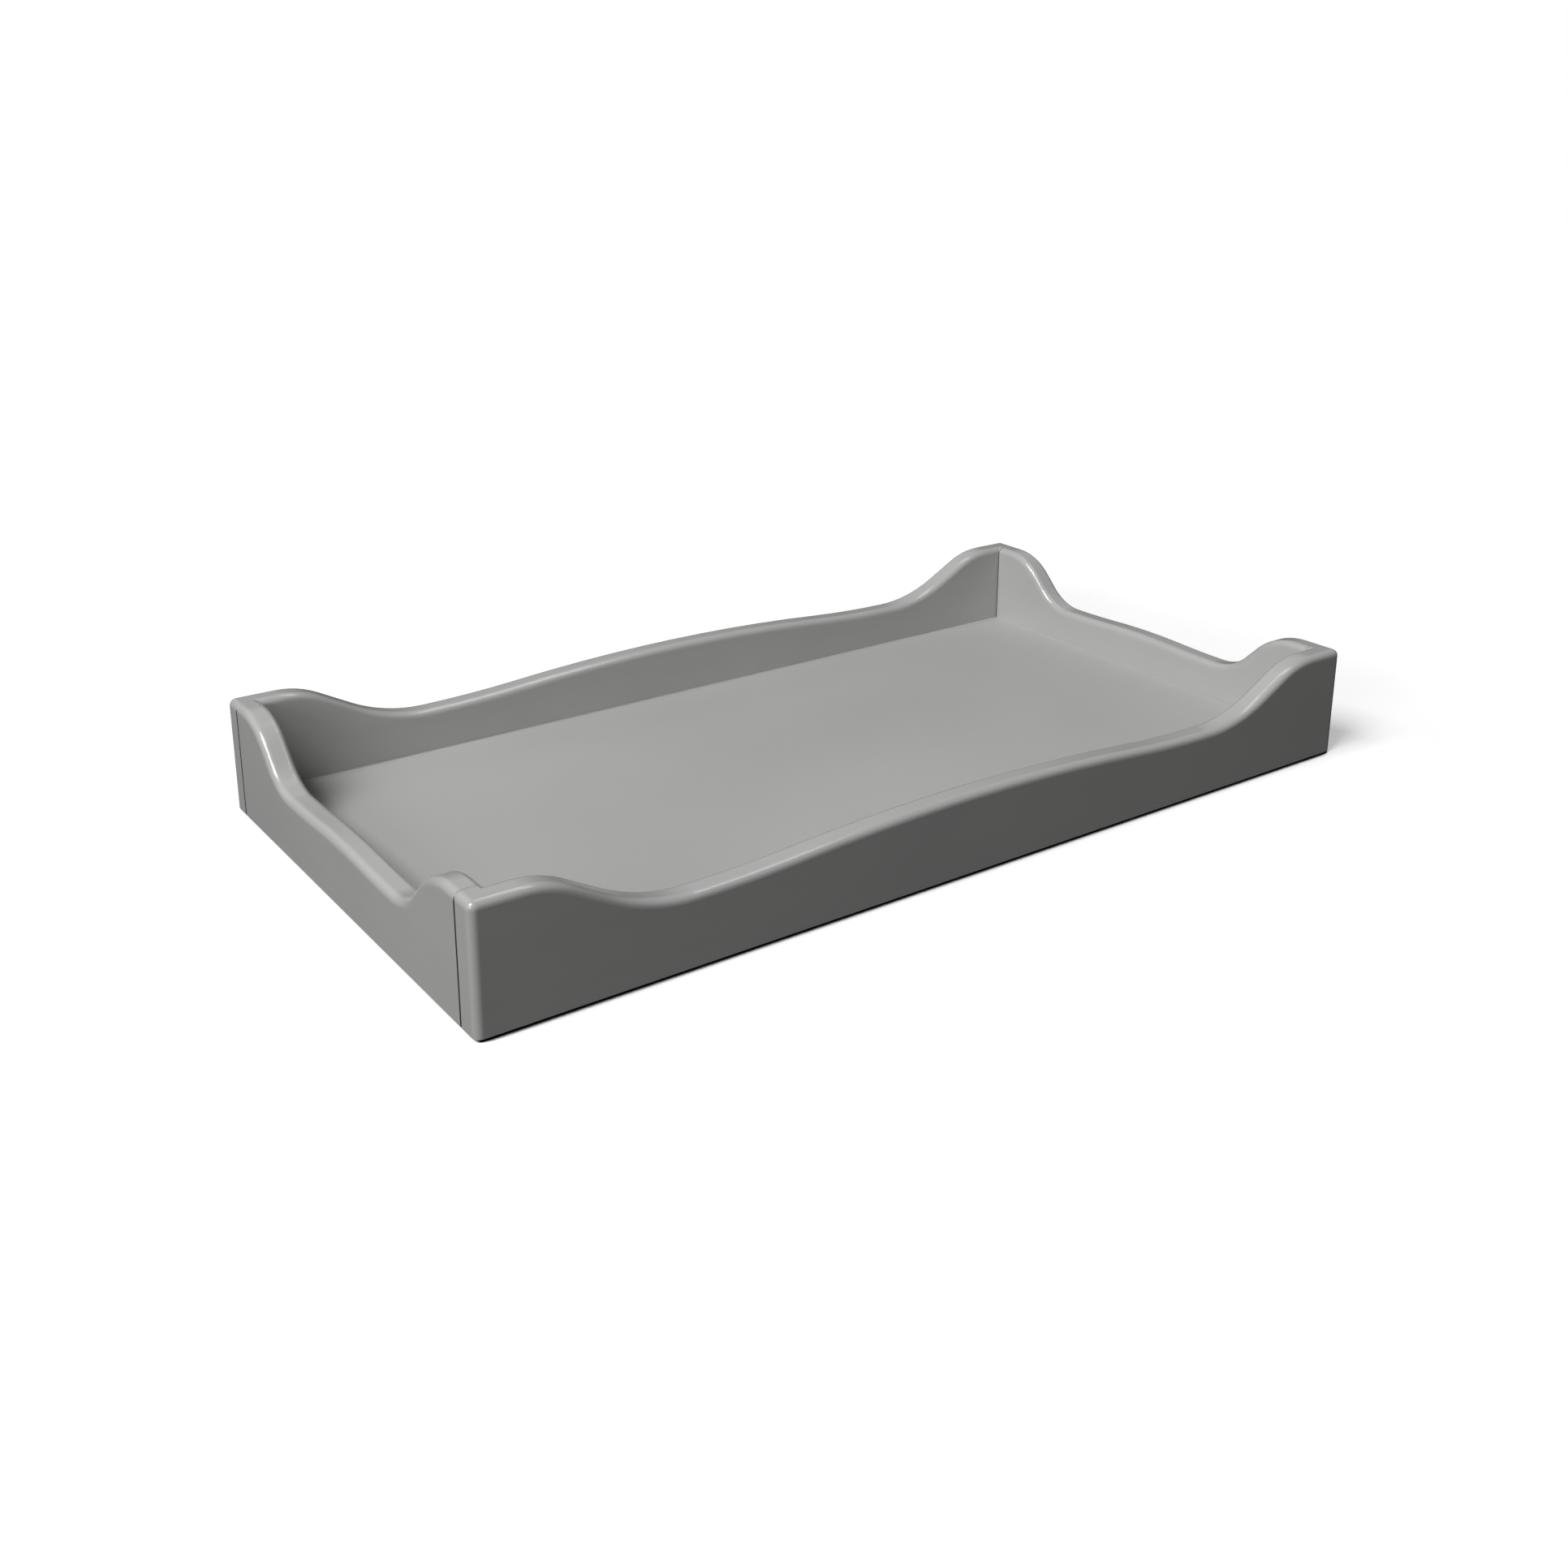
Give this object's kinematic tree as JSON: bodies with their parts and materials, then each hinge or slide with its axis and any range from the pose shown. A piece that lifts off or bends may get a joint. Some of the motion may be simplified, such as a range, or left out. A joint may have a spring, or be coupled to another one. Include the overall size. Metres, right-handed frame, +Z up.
{
  "type": "changing tray",
  "caption": "Shallow painted wooden tray with a scalloped rim and a flat floor that stands on a chest of drawers and holds a changing pad.",
  "frame": {"origin": "middle of the tray's footprint, on the surface that its feet stand on", "axes": "+X along the tray to the right end board, +Y to the back board, +Z up"},
  "size_m": [0.914, 0.48, 0.1055],
  "materials": {
    "painted_boards": "satin grey paint on solid wood",
    "painted_floor": "satin grey paint on plywood",
    "bare_pine": "planed, unpainted",
    "beech_dowel": "turned, unpainted",
    "zinc_plated_steel": "bright zinc plate",
    "foot_rubber": "matt"
  },
  "bodies": {
    "root": {"front_board": "painted_boards", "back_board": "painted_boards", "left_end_board": "painted_boards", "right_end_board": "painted_boards", "floor_panel": "painted_floor", "left_batten": "bare_pine", "right_batten": "bare_pine", "front_left_corner_block": "bare_pine", "front_left_block_screws": "zinc_plated_steel", "front_left_dowels": "beech_dowel", "front_right_corner_block": "bare_pine", "front_right_block_screws": "zinc_plated_steel", "front_right_dowels": "beech_dowel", "back_right_corner_block": "bare_pine", "back_right_block_screws": "zinc_plated_steel", "back_right_dowels": "beech_dowel", "back_left_corner_block": "bare_pine", "back_left_block_screws": "zinc_plated_steel", "back_left_dowels": "beech_dowel", "front_left_foot": "foot_rubber", "front_middle_foot": "foot_rubber", "front_right_foot": "foot_rubber", "back_left_foot": "foot_rubber", "back_middle_foot": "foot_rubber", "back_right_foot": "foot_rubber"}
  },
  "joints": []
}
